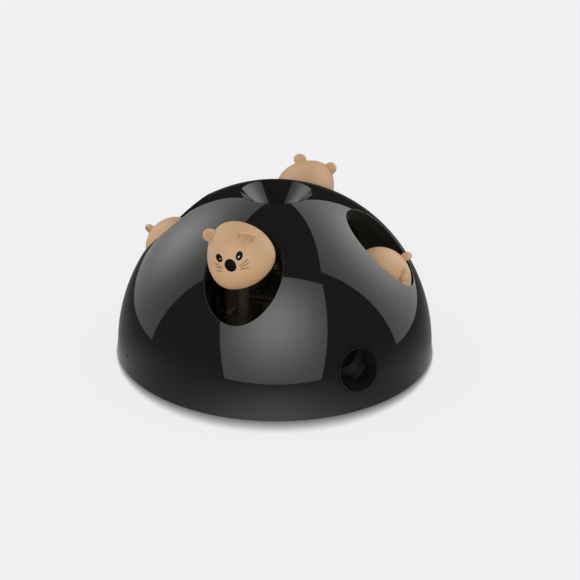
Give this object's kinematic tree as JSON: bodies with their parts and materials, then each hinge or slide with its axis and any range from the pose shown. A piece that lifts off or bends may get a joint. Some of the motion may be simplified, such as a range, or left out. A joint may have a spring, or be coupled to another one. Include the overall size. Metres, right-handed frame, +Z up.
{
  "type": "electronic mouse chase cat toy",
  "caption": "Gloss black dome cat toy with mouse heads that rise and sink in round holes, a treat dish on top and a treat exit low in front.",
  "frame": {"origin": "bottom centre, on the dome's axis at the floor", "axes": "+Z up through the treat dish, -Y towards the viewer of the front mouse head"},
  "size_m": [0.245, 0.245, 0.1295],
  "materials": {
    "dome_black": "high gloss",
    "inner_black": "matte",
    "mechanism_black": "matte",
    "foot_rubber": "matte",
    "screw_steel": "zinc plated",
    "bush_bronze": "turned",
    "ground_steel": "ground",
    "oxide_steel": "black oxide",
    "motor_steel": "nickel plated",
    "gear_brass": "machined",
    "natural_nylon": "satin",
    "slide_black": "satin",
    "mouse_tan": "soft matte",
    "bead_black": "high gloss",
    "cell_jacket": "satin sleeve",
    "contact_nickel": "nickel plated",
    "lead_sleeve": "flexible sleeve",
    "board_green": "solder mask",
    "part_black": "moulded",
    "lens_dark": "clear smoke"
  },
  "bodies": {
    "case": {"base_plate": "inner_black", "battery_box": "inner_black", "battery_cells": "cell_jacket", "battery_contacts": "contact_nickel", "battery_leads": "lead_sleeve", "board_parts": "part_black", "board_screws": "screw_steel", "case_screws": "screw_steel", "circuit_board": "board_green", "dome_shell": "dome_black", "gear_axles": "ground_steel", "gearbox_cover": "mechanism_black", "guide_rods": "oxide_steel", "hopper_baffle": "inner_black", "hopper_cup": "inner_black", "hopper_screws": "screw_steel", "lower_bush": "bush_bronze", "motor_can": "motor_steel", "motor_cap": "natural_nylon", "motor_leads": "lead_sleeve", "rubber_feet": "foot_rubber", "status_lens": "lens_dark", "switch_body": "part_black", "top_frame": "mechanism_black", "treat_chute": "dome_black", "upper_bush": "bush_bronze"},
    "cam": {"cam_drum": "slide_black", "cam_gear": "slide_black", "cam_shaft": "ground_steel", "dosing_disc": "inner_black"},
    "idler": {"idler_gear": "natural_nylon"},
    "third": {"gear_third": "natural_nylon"},
    "second": {"gear_second": "natural_nylon"},
    "first": {"gear_first": "natural_nylon"},
    "rotor": {"motor_pinion": "gear_brass"},
    "door": {"battery_door": "inner_black"},
    "knob": {"switch_knob": "part_black"},
    "mouse_front": {"carriage_front": "mechanism_black", "follower_pin_front": "oxide_steel", "head_front": "mouse_tan", "eyes_front": "bead_black", "nose_front": "bead_black"},
    "mouse_right": {"carriage_right": "mechanism_black", "follower_pin_right": "oxide_steel", "head_right": "mouse_tan", "eyes_right": "bead_black", "nose_right": "bead_black"},
    "mouse_back": {"carriage_back": "mechanism_black", "follower_pin_back": "oxide_steel", "head_back": "mouse_tan", "eyes_back": "bead_black", "nose_back": "bead_black"},
    "mouse_left": {"carriage_left": "mechanism_black", "follower_pin_left": "oxide_steel", "head_left": "mouse_tan", "eyes_left": "bead_black", "nose_left": "bead_black"}
  },
  "joints": [
    {"name": "cam_spin", "type": "hinge", "parent": "case", "child": "cam", "pos_m": [0, 0, 0], "axis": [0, 0, 1], "range_deg": [0, 90]},
    {"name": "idler_spin", "type": "hinge", "parent": "case", "child": "idler", "pos_m": [0.04198, 0.02327, 0], "axis": [0, 0, 1], "continuous": true},
    {"name": "third_spin", "type": "hinge", "parent": "case", "child": "third", "pos_m": [0.05877, 0.03258, 0], "axis": [0, 0, 1], "continuous": true},
    {"name": "second_spin", "type": "hinge", "parent": "case", "child": "second", "pos_m": [0.06566, 0.0505, 0], "axis": [0, 0, 1], "continuous": true},
    {"name": "first_spin", "type": "hinge", "parent": "case", "child": "first", "pos_m": [0.078, 0.04309, 0], "axis": [0, 0, 1], "continuous": true},
    {"name": "rotor_spin", "type": "hinge", "parent": "case", "child": "rotor", "pos_m": [0.07779, 0.03109, 0], "axis": [0, 0, 1], "continuous": true},
    {"name": "front_slide", "type": "slide", "parent": "case", "child": "mouse_front", "axis": [0, 0, 1], "range_m": [-0.038, 0]},
    {"name": "right_slide", "type": "slide", "parent": "case", "child": "mouse_right", "axis": [0, 0, 1], "range_m": [0, 0.038]},
    {"name": "back_slide", "type": "slide", "parent": "case", "child": "mouse_back", "axis": [0, 0, 1], "range_m": [-0.038, 0]},
    {"name": "left_slide", "type": "slide", "parent": "case", "child": "mouse_left", "axis": [0, 0, 1], "range_m": [0, 0.038]},
    {"name": "door_hinge", "type": "hinge", "parent": "case", "child": "door", "pos_m": [-0.02657, 0.04793, 0.0026], "axis": [-0.8746, -0.4848, 0], "range_deg": [0, 60]},
    {"name": "knob_slide", "type": "slide", "parent": "case", "child": "knob", "axis": [0.0698, -0.9976, 0], "range_m": [0, 0.004]}
  ],
  "couplings": [
    {"joint": "idler_spin", "follows": "cam_spin", "ratio": -3},
    {"joint": "third_spin", "follows": "cam_spin", "ratio": 5},
    {"joint": "second_spin", "follows": "cam_spin", "ratio": -15},
    {"joint": "first_spin", "follows": "cam_spin", "ratio": 45},
    {"joint": "rotor_spin", "follows": "cam_spin", "ratio": -135},
    {"joint": "front_slide", "follows": "cam_spin", "m_per_rad": -0.024192},
    {"joint": "right_slide", "follows": "cam_spin", "m_per_rad": 0.024192},
    {"joint": "back_slide", "follows": "cam_spin", "m_per_rad": -0.024192},
    {"joint": "left_slide", "follows": "cam_spin", "m_per_rad": 0.024192}
  ]
}
